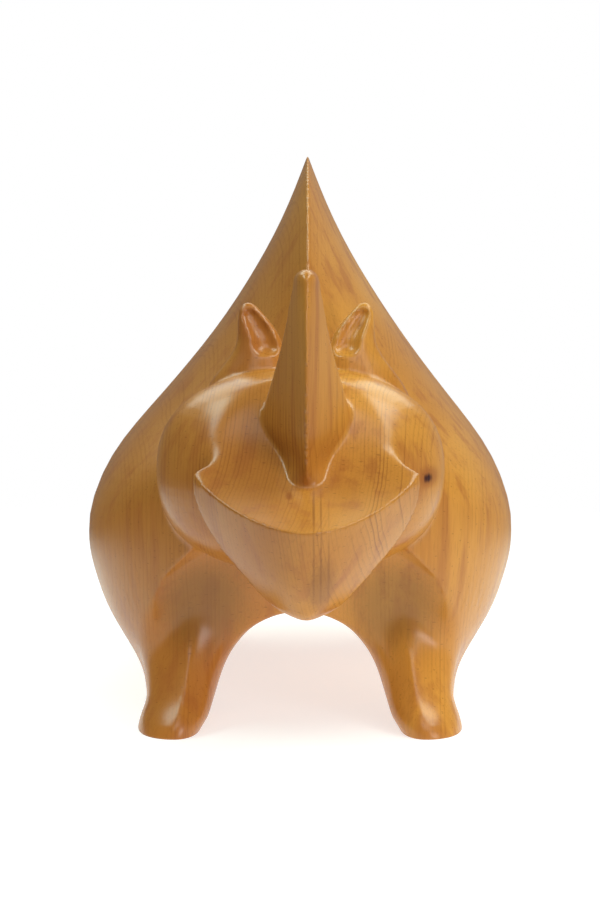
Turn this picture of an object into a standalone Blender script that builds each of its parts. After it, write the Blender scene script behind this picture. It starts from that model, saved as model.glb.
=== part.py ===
"""Rhinoceros figurine, carved from one block of wood.

Run with: blender --background --python part.py
Metres, +Z up. The animal faces -Y and stands on z = 0.
The origin is on the floor, under the middle of the figurine.
"""

import math

import bmesh
import bpy
import numpy as np
from mathutils.kdtree import KDTree

# Driving dimension: from the soles to the top of the back ridge
HEIGHT = 0.200

# Sizes below are shares of the height: two-hundredths of it, which are millimetres on this figure
SHARE = HEIGHT / 200

# Fineness of the carving
VOXEL = 1.2 * SHARE
SNAP = 0.75
TRIANGLES = 9600
STATIONS = 72
RING_POINTS = 24

# Sanding: how far the widest hollow reaches, how many strokes it takes, and strokes over everything
WIDEST_HOLLOW = 14.0
STROKES = 70
LAST_STROKES = 2
LAST_PULL = 0.3
CREASE_ANGLE = math.radians(14)
CREASE_STEP = 0.3
SHARP_REACH = 1.35

WOOD_COLOUR = (0.50, 0.25, 0.09, 1.0)
WOOD_ROUGHNESS = 0.38


def spline(keys, at):
    """Natural cubic spline through rows of (position, value, value, ...), read at each position."""
    keys = np.asarray(keys, float)
    x, y = keys[:, 0], keys[:, 1:]
    gap = np.diff(x)
    count = len(x)
    matrix = np.eye(count)
    right = np.zeros_like(y)
    for i in range(1, count - 1):
        matrix[i, i - 1 : i + 2] = gap[i - 1], 2 * (gap[i - 1] + gap[i]), gap[i]
        right[i] = 6 * ((y[i + 1] - y[i]) / gap[i] - (y[i] - y[i - 1]) / gap[i - 1])
    bend = np.linalg.solve(matrix, right)
    at = np.atleast_1d(np.asarray(at, float))
    i = np.clip(np.searchsorted(x, at) - 1, 0, count - 2)
    h = gap[i][:, None]
    a = (x[i + 1] - at)[:, None] / h
    b = 1 - a
    return a * y[i] + b * y[i + 1] + ((a**3 - a) * bend[i] + (b**3 - b) * bend[i + 1]) * h * h / 6


def bezier(start, pull, end, count):
    """Quadratic curve from start to end, leaving out the end point."""
    t = np.arange(count)[:, None] / count
    start, pull, end = (np.asarray(p, float) for p in (start, pull, end))
    return (1 - t) ** 2 * start + 2 * t * (1 - t) * pull + t * t * end


def skin(name, rings):
    """Closed mesh through rings of equal length, with a fan over each end."""
    shape = bmesh.new()
    rows = [[shape.verts.new(p * SHARE) for p in ring] for ring in rings]
    for low, high in zip(rows, rows[1:]):
        for a, b, c, d in zip(low, low[1:] + low[:1], high[1:] + high[:1], high):
            shape.faces.new((a, b, c, d))
    for row, ring in ((rows[0][::-1], rings[0]), (rows[-1], rings[-1])):
        middle = shape.verts.new(np.mean(ring, axis=0) * SHARE)
        for a, b in zip(row, row[1:] + row[:1]):
            shape.faces.new((a, b, middle))
    bmesh.ops.remove_doubles(shape, verts=shape.verts, dist=0.001 * SHARE)
    bmesh.ops.recalc_face_normals(shape, faces=shape.faces)
    mesh = bpy.data.meshes.new(name)
    shape.to_mesh(mesh)
    shape.free()
    thing = bpy.data.objects.new(name, mesh)
    bpy.context.collection.objects.link(thing)
    return thing


def both_sides(half, over=0.0):
    """Whole closed ring from a half ring that starts and ends on the middle plane, set over sideways."""
    return np.vstack([half, half[-2:0:-1] * (-1, 1, 1)]) + (over, 0, 0)


def boolean(thing, other, operation):
    """Join or cut closed shapes. The exact solver leaves open edges where these dense sub-forms meet."""
    bpy.context.view_layer.objects.active = thing
    cut = thing.modifiers.new(other.name, "BOOLEAN")
    cut.operation = operation
    cut.solver = "MANIFOLD"
    cut.object = other
    bpy.ops.object.modifier_apply(modifier=cut.name)
    bpy.data.objects.remove(other)


# Body: onion-shaped sections under a sharp ridge, whose flanks run down into the legs
BODY_FRONT = -92.0
BODY_REAR = 143.0
BLUNT = 0.6
# Place along the body: half width, ridge, height of the widest line
BODY = (
    (-92, 0, 101, 98),
    (-88, 24, 109, 92),
    (-80, 41, 123, 86),
    (-72, 52.5, 137, 81),
    (-62, 62.5, 152, 76),
    (-50, 70, 168, 71),
    (-35, 75.6, 182.5, 67),
    (-15, 78.3, 196.4, 64),
    (5, 78.9, 201.2, 63),
    (25, 78.7, 200.6, 63),
    (45, 77.2, 194.2, 63.5),
    (65, 74, 182.4, 64.5),
    (85, 67.5, 165.5, 65.5),
    (105, 56.5, 144, 66),
    (120, 44, 124, 66),
    (132, 30, 107, 65),
    (139, 16, 97, 64),
    (143, 0, 91, 64),
)
# Flank above the widest line: share of the rise, share of the half width
OGEE = (
    (-0.10, 0.973),
    (0, 1),
    (0.10, 0.973),
    (0.20, 0.887),
    (0.335, 0.703),
    (0.50, 0.474),
    (0.67, 0.274),
    (0.80, 0.147),
    (0.90, 0.068),
    (1, 0),
)
# Flank below the widest line: height, share of the half width
WIDEST_LINE = 63
KNEE = 16
SKIRT = (
    (-12, 0.76),
    (-4, 0.758),
    (0, 0.755),
    (4, 0.75),
    (10, 0.75),
    (16, 0.766),
    (22, 0.805),
    (30, 0.87),
    (38, 0.925),
    (46, 0.962),
    (54, 0.990),
    (63, 1),
    (72, 0.990),
)
# Sideways set of the carving: low on the body, at the back ridge, and of the snout, horn and ears
LOW_SET = -1.0
RIDGE_SET = 1.8
FACE_SET = 1.2
SET_FROM = 60
SET_TO = 150

# Lower edge of the flank: place along the body, height, rise of the hollow inside it
HEM = (
    (-92, 96, 0),
    (-86, 76, 6),
    (-80, 66, 12),
    (-72, 54, 16),
    (-68, 45, 18),
    (-62, 34, 16),
    (-55, 14, 8),
    (-48, -12, 0),
    (108, -12, 0),
    (114, 20, 4),
    (122, 31, 8),
    (132, 41, 8),
    (139, 50, 6),
    (142.2, 58, 3),
    (143, 63, 0),
)


def along_body(y):
    """Angle that runs from 0 to pi along the body, so that its blunt ends close smoothly."""
    share = (np.asarray(y, float) - BODY_FRONT) / (BODY_REAR - BODY_FRONT)
    return np.arccos(np.clip(1 - 2 * share, -1, 1))


def body():
    angle = np.linspace(0, math.pi, STATIONS)
    keys = np.asarray(BODY, float)
    keys[:, 0] = along_body(keys[:, 0])
    hem = np.asarray(HEM, float)
    edge = np.interp(angle, along_body(hem[:, 0]), hem[:, 1])
    hollow = np.interp(angle, along_body(hem[:, 0]), hem[:, 2])
    place = BODY_FRONT + (BODY_REAR - BODY_FRONT) * (1 - np.cos(angle)) / 2
    rise = np.linspace(1, 0, RING_POINTS)
    flank = spline(OGEE, rise)[:, 0]
    fall = np.linspace(0, 1, RING_POINTS)[1:]
    rings = []
    for y, low, lift, (width, ridge, widest) in zip(place, edge, hollow, spline(keys, angle)):
        width = max(width, BLUNT)
        upper = np.column_stack([width * flank, widest + (ridge - widest) * rise])
        height = widest + (min(low, widest - 1) - widest) * fall
        drop = (widest - WIDEST_LINE) * np.clip((height - KNEE) / (widest - KNEE), 0, 1)
        lower = np.column_stack([width * spline(SKIRT, height - drop)[:, 0], height])
        corner = lower[-1]
        top = corner[1] + lift
        under = bezier(corner, (corner[0] * 0.6, top), (0, top), RING_POINTS // 2)[1:]
        half = np.vstack([upper, lower, under, [(0, top)]])
        ring = both_sides(np.column_stack([half[:, 0], 0 * half[:, 0] + y, half[:, 1]]))
        climb = np.clip((ring[:, 2] - SET_FROM) / (SET_TO - SET_FROM), 0, 1)
        ring[:, 0] += LOW_SET + (RIDGE_SET - LOW_SET) * climb * climb * (3 - 2 * climb)
        rings.append(ring)
    return skin("rhinoceros", rings)


# How far cutters reach below the floor
BELOW = 40

# Arch between the left and right legs, as seen from the front
ARCH_SOLE = 36.6
ARCH_LEG = (31.0, 8.0)
ARCH_PULL = (24.5, 40.0)
ARCH_CROWN = 41.0
# Arch between the fore and hind legs, as seen from the side
FLANK_ARCH_MIDDLE = 22.0
FLANK_ARCH_HALF = 55.0
FLANK_ARCH_CROWN = 40.0
FLANK_ARCH_POWER = 2.3


def lengthways_arch():
    half = np.vstack(
        [
            [(0, ARCH_CROWN)],
            bezier((0, ARCH_CROWN), ARCH_PULL, ARCH_LEG, RING_POINTS)[1:],
            bezier(ARCH_LEG, (ARCH_LEG[0] + 0.4, 4), (ARCH_SOLE, 0), RING_POINTS // 2),
            [(ARCH_SOLE, 0), (ARCH_SOLE, -BELOW), (0, -BELOW)],
        ]
    )
    half = half[:, [0, 0, 1]]
    rings = []
    for y in (BODY_FRONT - 20, BODY_REAR + 20):
        half[:, 1] = y
        rings.append(both_sides(half, LOW_SET))
    return skin("lengthways_arch", rings)


def crossways_arch():
    turn = np.linspace(0, math.pi, 2 * RING_POINTS)
    power = 2 / FLANK_ARCH_POWER
    outline = [
        (
            FLANK_ARCH_MIDDLE + FLANK_ARCH_HALF * math.copysign(abs(math.cos(a)) ** power, math.cos(a)),
            FLANK_ARCH_CROWN * math.sin(a) ** power,
        )
        for a in turn
    ]
    outline += [(outline[-1][0], -BELOW), (outline[0][0], -BELOW)]
    return skin("crossways_arch", [np.array([(x, y, z) for y, z in outline]) for x in (-100, 100)])


# Legs: almond sections that put a shin and a toe in front of the body, or a hock and a heel behind it
# Height: inner side, outer side, ridge across, ridge, middle, far side, bluntness of the ridge
FORE_LEG = (
    (-12, 36.5, 58.6, 45, -84, -60, -38, 0.05),
    (0, 35.5, 58.2, 44.5, -83.5, -60, -38, 0.05),
    (4, 33, 57.2, 43.8, -82.5, -60, -38, 0.10),
    (10, 30.8, 55.2, 42, -78, -58, -37, 0.26),
    (18, 28.2, 56, 40.5, -72.5, -54, -34, 0.42),
    (26, 24.2, 58, 39.5, -68, -50, -30, 0.42),
    (34, 17.5, 60, 38.8, -65, -46, -25, 0.40),
    (42, 12, 60, 38, -63.5, -42, -22, 0.40),
    (52, 9, 58, 37, -62, -38, -18, 0.40),
)
HIND_LEG = (
    (-12, 36.5, 58.2, 46, 126, 104, 82, 0.1),
    (0, 35.5, 58, 46, 125, 104, 82, 0.1),
    (4, 33, 57.2, 45.5, 124, 103, 81, 0.15),
    (10, 31, 55.8, 45, 120.5, 101, 79, 0.30),
    (18, 28.5, 56.5, 44, 119, 98, 77, 0.42),
    (26, 25, 58.5, 43, 120.5, 96, 74, 0.42),
    (36, 18, 60, 41, 126, 94, 70, 0.42),
    (48, 12, 58, 38, 131, 92, 66, 0.42),
)


def leg(keys, side):
    keys = np.asarray(keys, float)
    count = RING_POINTS // 2
    height = np.linspace(keys[0, 0], keys[-1, 0], STATIONS // 2)
    rings = []
    for z, (inner, outer, across, ridge, middle, far, blunt) in zip(height, spline(keys, height)):
        centre = (inner + outer) / 2
        pull = ridge + blunt * (middle - ridge)
        flat = np.vstack(
            [
                bezier((across, ridge), (outer, pull), (outer, middle), count),
                bezier((outer, middle), (outer, far), (centre, far), count),
                bezier((centre, far), (inner, far), (inner, middle), count),
                bezier((inner, middle), (inner, pull), (across, ridge), count),
            ]
        )
        rings.append(np.column_stack([side * flat[:, 0] + LOW_SET, flat[:, 1], 0 * flat[:, 0] + z]))
    return skin("leg", rings)


# Head: a ball, with a bow-shaped snout in front and a hollow face cut across both
BALL_MIDDLE = (-0.8, -80, 95.6)
BALL_RADII = (50.4, 38, 35.7)
# Squareness of the ball's outline seen from the front, which fades towards its front
BALL_SQUARE = 0.38
BALL_FADE = 1.9
# Height: place of the keel, half width at the corner, place of the corner, back of the jaw
SNOUT = (
    (50.8, -124, 4.0, -119, -113),
    (52.2, -126, 7.4, -118, -107),
    (55.5, -129, 12.5, -117, -96),
    (63.5, -136, 20.2, -115.8, -84),
    (74, -142, 29, -114.6, -82),
    (84.5, -147, 35.7, -114.4, -82),
    (95, -151.5, 38.8, -114.8, -82),
    (106, -156, 41, -114.4, -82),
)
SNOUT_PULL = (0.43, 0.3)
SNOUT_NECK = (0.72, 0.42)
# Face seen from the side, from in front of the lip up over the forehead
FACE = (
    (-165, 78),
    (-147, 84.5),
    (-132, 91),
    (-118, 98.8),
    (-112, 103.6),
    (-107, 109.2),
    (-103.5, 114.3),
    (-100, 119.8),
    (-95.5, 125.6),
    (-89, 130.8),
    (-82, 134.2),
    (-74, 137.4),
)


def head():
    bpy.ops.mesh.primitive_uv_sphere_add(segments=STATIONS, ring_count=STATIONS // 2, radius=SHARE)
    ball = bpy.context.active_object
    ball.name = "head"
    for vertex in ball.data.vertices:
        x, y, z = vertex.co / SHARE
        power = 2 + BALL_SQUARE * (1 - BALL_FADE * abs(y))
        square = (abs(x) ** power + abs(z) ** power) ** (1 / power)
        grow = math.hypot(x, z) / square if square > 0 else 1
        unit = (x * grow, y, z * grow)
        vertex.co = [(c * r + m) * SHARE for c, r, m in zip(unit, BALL_RADII, BALL_MIDDLE)]
    keys = np.asarray(SNOUT, float)
    rise = np.linspace(0, 1, STATIONS) ** 1.5
    height = keys[0, 0] + (keys[-1, 0] - keys[0, 0]) * rise
    rings = []
    for z, (keel, corner, place, back) in zip(height, spline(keys, height)):
        neck = (corner * SNOUT_NECK[0], place + SNOUT_NECK[1] * (back - place))
        prow = (corner * SNOUT_PULL[0], keel + SNOUT_PULL[1])
        half = np.vstack(
            [
                bezier((0, keel), prow, (corner, place), RING_POINTS),
                bezier((corner, place), (neck[0], place + 4), neck, RING_POINTS // 4),
                bezier(neck, (neck[0], back), (0, back), RING_POINTS // 2),
                [(0, back)],
            ]
        )
        rings.append(both_sides(np.column_stack([half, 0 * half[:, 0] + z]), FACE_SET))
    boolean(ball, skin("snout", rings), "UNION")
    place = np.linspace(FACE[0][0], FACE[-1][0], STATIONS)
    line = np.column_stack([place, spline(FACE, place)])
    outline = np.vstack([line, [(place[-1], 170), (place[0], 170)]])
    above = [np.column_stack([0 * outline[:, 0] + x, outline]) for x in (-70, 70)]
    boolean(ball, skin("face", above), "DIFFERENCE")
    return ball


# Horn, upright, with a ridge in front between two flat facets and a thin facet on each side
# Height: front ridge, side arris, back, half width, bluntness of the ridge
HORN = (
    (84, -120.4, -117.4, -84, 7.8, 0.38),
    (93, -121.2, -117.6, -85, 7.8, 0.38),
    (97, -122.4, -117.2, -85.5, 7.9, 0.32),
    (100.5, -124, -113.5, -86, 8.2, 0.18),
    (104, -125.6, -110.5, -87, 9.0, 0.10),
    (107.5, -127, -107, -88, 11.6, 0.06),
    (111, -128.3, -104.2, -88.8, 14.8, 0.05),
    (114.5, -129.4, -104, -90, 16.0, 0.04),
    (118, -130.4, -105, -92, 15.4, 0.03),
    (132.5, -133.0, -110.5, -100, 11.2, 0.02),
    (145.5, -133.8, -116.5, -108, 8.0, 0.04),
    (159.5, -133, -121.5, -116.0, 5.5, 0.14),
    (165.5, -131.8, -123.0, -118.8, 4.6, 0.24),
    (168.6, -130.4, -124.0, -120.6, 3.6, 0.30),
    (170.2, -127.6, -124.8, -122.6, 1.6, 0.30),
)
HORN_ARRIS = 0.88


def horn():
    keys = np.asarray(HORN, float)
    height = keys[0, 0] + (keys[-1, 0] - keys[0, 0]) * np.sin(np.linspace(0, math.pi / 2, STATIONS))
    count = RING_POINTS // 4
    rings = []
    for z, (front, arris, back, width, blunt) in zip(height, spline(keys, height)):
        side = HORN_ARRIS * width
        wide = arris + 0.35 * (back - arris)
        pull = (side * (0.5 + blunt), front + (0.5 - blunt) * (arris - front))
        half = np.vstack(
            [
                bezier((0, front), pull, (side, arris), count),
                bezier((side, arris), (width, arris + 0.6 * (wide - arris)), (width, wide), count),
                bezier((width, wide), (width * 0.9, back), (0, back), count),
                [(0, back)],
            ]
        )
        rings.append(both_sides(np.column_stack([half, 0 * half[:, 0] + z]), FACE_SET))
    return skin("horn", rings)


# Ears: leaves that lean outwards on a flared root, cupped in front
# Height: middle, half width, place along the body, half thickness
EAR = (
    (116, 21, 17, -68, 11),
    (124, 19.5, 15.2, -69, 10),
    (130, 18.0, 12.6, -69.3, 8.6),
    (135, 16.9, 10.0, -69, 7.2),
    (139, 16.5, 8.3, -68.5, 6.2),
    (144, 17.3, 6.8, -67.5, 5.0),
    (149, 19.2, 4.7, -66, 3.6),
    (151.6, 20.1, 3.2, -65.2, 2.5),
    (153, 20.4, 1.8, -64.8, 1.3),
    (153.6, 20.5, 0.8, -64.7, 0.7),
)
EAR_CUP = (
    (136.0, 13.2, 3.4, -77.2, 3.6),
    (137.0, 13.3, 4.4, -76.6, 4.8),
    (140.5, 14.4, 4.7, -75.2, 5.4),
    (144, 16.0, 4.3, -73.2, 5.0),
    (148, 18.5, 3.5, -70.5, 3.6),
    (150.6, 20.0, 2.0, -68.2, 2.2),
    (151.6, 20.4, 0.8, -67.2, 1.0),
)
THINNEST = 0.4


def leaf(name, side, keys):
    turn = np.linspace(0, 2 * math.pi, RING_POINTS, endpoint=False)
    height = np.linspace(keys[0][0], keys[-1][0], STATIONS // 2)
    rings = []
    for z, (middle, wide, place, thick) in zip(height, spline(keys, height)):
        wide, thick = max(wide, THINNEST), max(thick, THINNEST)
        ring = [(side * (middle + wide * math.cos(a)), place + thick * math.sin(a), z) for a in turn]
        rings.append(np.array(ring) + (FACE_SET, 0, 0))
    return skin(name, rings)


def ear(side):
    outer = leaf("ear", side, EAR)
    boolean(outer, leaf("cup", side, EAR_CUP), "DIFFERENCE")
    return outer


# Tail, lying on the rump: share of its length, place, height, half thickness
TAIL = (
    (0, 125, 115, 4),
    (0.25, 134.5, 103, 4.6),
    (0.5, 141.8, 91, 4.2),
    (0.75, 144.4, 77, 3.8),
    (0.93, 143, 66, 3.6),
    (1, 141.5, 61.5, 0.8),
)


def tail():
    turn = np.linspace(0, 2 * math.pi, RING_POINTS, endpoint=False)
    rings = []
    for y, z, thick in spline(TAIL, np.linspace(0, 1, STATIONS // 2)):
        rings.append(np.array([(thick * math.cos(a), y + thick * math.sin(a), z) for a in turn]))
    return skin("tail", rings)


def reach_of_sanding(point, hollow):
    """How wide an edge at this point is rounded: a hollow angle, or a standing edge."""
    x, y, z = abs(point.x / SHARE), point.y / SHARE, point.z / SHARE
    on_head = y < -88 and z > 58
    if z > 128 and y > -82:
        return 2.0 if hollow else 1.3
    if on_head and x < 18 and z > 150:
        return 3.0
    if on_head and x < 18 and z > 90 and (z > 136 or y > -136):
        return 1.5 if hollow else 0.8
    if on_head and hollow:
        return 9
    if on_head and x > 16 and z > 101:
        return 9
    if on_head:
        return 1.2
    if y < -50 and z > 50:
        return 4 if hollow else 1
    if z < 50 and hollow:
        return WIDEST_HOLLOW
    if z < 50 and y > -60:
        return 8
    if y > 100 and z > 55:
        return 4 if hollow else 1
    return 2


def tree_of(points):
    tree = KDTree(len(points))
    for i, point in enumerate(points):
        tree.insert(point, i)
    tree.balance()
    return tree


def find_creases(crisp):
    """Points along every crease of the crisp shape, sorted by how far sanding reaches there."""
    shape = bmesh.new()
    shape.from_mesh(crisp.data)
    creases = {}
    for edge in shape.edges:
        angle = edge.calc_face_angle_signed(0)
        if abs(angle) < CREASE_ANGLE:
            continue
        start, end = (v.co for v in edge.verts)
        steps = max(1, math.ceil(edge.calc_length() / (CREASE_STEP * SHARE)))
        for i in range(steps + 1):
            point = start.lerp(end, i / steps)
            creases.setdefault((reach_of_sanding(point, angle < 0), angle > 0), []).append(point)
    shape.free()
    return {key: tree_of(points) for key, points in creases.items()}


def split_along(figure, on_edge):
    """Cut each quad that has opposite corners on a sharp edge along that edge."""
    shape = bmesh.new()
    shape.from_mesh(figure.data)
    for face in list(shape.faces):
        corners = face.verts[:]
        for a, b in ((0, 2), (1, 3)):
            if len(corners) == 4 and {corners[a].index, corners[b].index} <= on_edge:
                bmesh.utils.face_split(face, corners[a], corners[b])
                break
    shape.to_mesh(figure.data)
    shape.free()


def sand(figure, crisp):
    """Keep the sharp edges, and round each other crease by the reach that its place gives."""
    creases = find_creases(crisp)
    speed = np.zeros(len(figure.data.vertices))
    on_edge = set()
    for (reach, standing), tree in creases.items():
        sharp = standing and reach <= SHARP_REACH
        for vertex in figure.data.vertices:
            point, _, distance = tree.find(vertex.co)
            if sharp and distance < SNAP * VOXEL:
                vertex.co = point
                on_edge.add(vertex.index)
            if distance < reach * SHARE:
                fade = (1 - distance / reach / SHARE) * (reach / WIDEST_HOLLOW) ** 2
                speed[vertex.index] = max(speed[vertex.index], fade)
    split_along(figure, on_edge)
    modifier(figure, "SHRINKWRAP", target=crisp, wrap_method="NEAREST_SURFACEPOINT")
    group = figure.vertex_groups.new(name="sanded")
    for i in np.flatnonzero(speed):
        group.add([int(i)], speed[i], "REPLACE")
    modifier(figure, "SMOOTH", factor=0.9, iterations=round(STROKES), vertex_group="sanded")
    modifier(figure, "SMOOTH", factor=LAST_PULL, iterations=round(LAST_STROKES))
    figure.vertex_groups.clear()


def modifier(thing, kind, **settings):
    made = thing.modifiers.new(kind.title(), kind)
    for key, value in settings.items():
        setattr(made, key, value)
    bpy.context.view_layer.objects.active = thing
    bpy.ops.object.modifier_apply(modifier=made.name)


def centre(figure):
    """Put the middle of the figure's box over the origin."""
    box = np.array([vertex.co for vertex in figure.data.vertices])
    middle = (box.min(axis=0) + box.max(axis=0)) / 2
    for vertex in figure.data.vertices:
        vertex.co.x -= middle[0]
        vertex.co.y -= middle[1]


def finish(figure):
    wood = bpy.data.materials.new("varnished wood")
    wood.use_nodes = True
    shader = wood.node_tree.nodes["Principled BSDF"]
    shader.inputs["Base Color"].default_value = WOOD_COLOUR
    shader.inputs["Roughness"].default_value = WOOD_ROUGHNESS
    figure.data.materials.clear()
    figure.data.materials.append(wood)
    figure.data.shade_smooth()


def main():
    for thing in list(bpy.data.objects):
        bpy.data.objects.remove(thing)
    figure = body()
    boolean(figure, lengthways_arch(), "DIFFERENCE")
    boolean(figure, crossways_arch(), "DIFFERENCE")
    shapes = [head(), horn(), tail()]
    for side in (1, -1):
        shapes += [ear(side), leg(FORE_LEG, side), leg(HIND_LEG, side)]
    for shape in shapes:
        boolean(figure, shape, "UNION")
    crisp = figure.copy()
    crisp.data = figure.data.copy()
    bpy.context.collection.objects.link(crisp)
    modifier(figure, "REMESH", mode="VOXEL", voxel_size=VOXEL)
    sand(figure, crisp)
    bpy.data.objects.remove(crisp)
    modifier(figure, "TRIANGULATE")
    modifier(figure, "DECIMATE", ratio=TRIANGLES / len(figure.data.polygons))
    size = 400 * SHARE
    bpy.ops.mesh.primitive_cube_add(size=size, location=(0, 0, -size / 2))
    floor = bpy.context.active_object
    floor.name = "floor"
    boolean(figure, floor, "DIFFERENCE")
    centre(figure)
    finish(figure)


main()
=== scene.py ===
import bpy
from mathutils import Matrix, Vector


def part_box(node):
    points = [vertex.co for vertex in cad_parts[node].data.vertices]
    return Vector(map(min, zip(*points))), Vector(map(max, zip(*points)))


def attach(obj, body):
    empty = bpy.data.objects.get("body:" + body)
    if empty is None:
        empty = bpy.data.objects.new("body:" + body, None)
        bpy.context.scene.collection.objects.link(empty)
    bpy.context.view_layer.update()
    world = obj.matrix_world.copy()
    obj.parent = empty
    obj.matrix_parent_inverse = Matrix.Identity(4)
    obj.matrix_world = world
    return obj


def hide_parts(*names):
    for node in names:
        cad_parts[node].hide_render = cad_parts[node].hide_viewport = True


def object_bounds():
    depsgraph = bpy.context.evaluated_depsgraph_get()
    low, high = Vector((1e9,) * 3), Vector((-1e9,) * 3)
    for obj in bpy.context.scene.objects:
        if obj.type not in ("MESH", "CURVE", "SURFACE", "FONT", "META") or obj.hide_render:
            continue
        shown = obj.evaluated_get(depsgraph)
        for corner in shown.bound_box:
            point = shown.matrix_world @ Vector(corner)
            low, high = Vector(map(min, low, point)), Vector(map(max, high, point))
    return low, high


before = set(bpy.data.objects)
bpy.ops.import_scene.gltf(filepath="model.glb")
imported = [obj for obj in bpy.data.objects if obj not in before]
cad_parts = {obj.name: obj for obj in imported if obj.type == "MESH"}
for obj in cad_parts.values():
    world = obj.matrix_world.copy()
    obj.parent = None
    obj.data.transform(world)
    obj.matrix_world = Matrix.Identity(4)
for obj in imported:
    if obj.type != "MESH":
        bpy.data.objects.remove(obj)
cadBox = [list(corner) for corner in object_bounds()]

import math

import bmesh
import bpy
import numpy as np
from mathutils import Vector
from mathutils.kdtree import KDTree

share = cadBox[1][2] / 200  # the carving's own unit, two-hundredths of its height: 1 mm on this one
middleX = 1.05  # where the carving's own middle plane and origin lie in the frame, in shares
middleY = -0.9

grain = {
    "voxel": 0.95,  # fineness of the carved surface
    "snap": 0.75,  # how near a sharp edge a point is drawn onto it, in voxels
    "faces": 190000,
    "stations": 72,  # slices along each form
    "ringPoints": 24,
    "weld": 0.001,  # points of a form nearer than this become one
}


def spline(keys, at):
    # natural cubic through rows of (position, value, value, ...)
    keys = np.asarray(keys, float)
    x, y = keys[:, 0], keys[:, 1:]
    gap = np.diff(x)
    count = len(x)
    matrix = np.eye(count)
    right = np.zeros_like(y)
    for i in range(1, count - 1):
        matrix[i, i - 1 : i + 2] = gap[i - 1], 2 * (gap[i - 1] + gap[i]), gap[i]
        right[i] = 6 * ((y[i + 1] - y[i]) / gap[i] - (y[i] - y[i - 1]) / gap[i - 1])
    bend = np.linalg.solve(matrix, right)
    at = np.atleast_1d(np.asarray(at, float))
    i = np.clip(np.searchsorted(x, at) - 1, 0, count - 2)
    h = gap[i][:, None]
    a = (x[i + 1] - at)[:, None] / h
    b = 1 - a
    return a * y[i] + b * y[i + 1] + ((a**3 - a) * bend[i] + (b**3 - b) * bend[i + 1]) * h * h / 6


def bezier(start, pull, end, count):
    # quadratic curve, without its end point
    t = np.arange(count)[:, None] / count
    start, pull, end = (np.asarray(p, float) for p in (start, pull, end))
    return (1 - t) ** 2 * start + 2 * t * (1 - t) * pull + t * t * end


def skin(name, rings):
    # closed mesh through rings of equal length, with a fan over each end
    shape = bmesh.new()
    rows = [[shape.verts.new(p * share) for p in ring] for ring in rings]
    for low, high in zip(rows, rows[1:]):
        for a, b, c, d in zip(low, low[1:] + low[:1], high[1:] + high[:1], high):
            shape.faces.new((a, b, c, d))
    for row, ring in ((rows[0][::-1], rings[0]), (rows[-1], rings[-1])):
        middle = shape.verts.new(np.mean(ring, axis=0) * share)
        for a, b in zip(row, row[1:] + row[:1]):
            shape.faces.new((a, b, middle))
    bmesh.ops.remove_doubles(shape, verts=shape.verts, dist=grain["weld"] * share)
    bmesh.ops.recalc_face_normals(shape, faces=shape.faces)
    mesh = bpy.data.meshes.new(name)
    shape.to_mesh(mesh)
    shape.free()
    thing = bpy.data.objects.new(name, mesh)
    bpy.context.scene.collection.objects.link(thing)
    return thing


def bothSides(half, over=0.0):
    # whole ring from a half ring that starts and ends on the middle plane, set over sideways
    return np.vstack([half, half[-2:0:-1] * (-1, 1, 1)]) + (over, 0, 0)


def combine(thing, other, operation):
    # the manifold solver, because the exact one leaves open edges where these dense forms meet
    bpy.context.view_layer.objects.active = thing
    cut = thing.modifiers.new(other.name, "BOOLEAN")
    cut.operation = operation
    cut.solver = "MANIFOLD"
    cut.object = other
    bpy.ops.object.modifier_apply(modifier=cut.name)
    bpy.data.objects.remove(other)


def applyModifier(thing, kind, **settings):
    made = thing.modifiers.new(kind.title(), kind)
    for key, value in settings.items():
        setattr(made, key, value)
    bpy.context.view_layer.objects.active = thing
    bpy.ops.object.modifier_apply(modifier=made.name)


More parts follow.
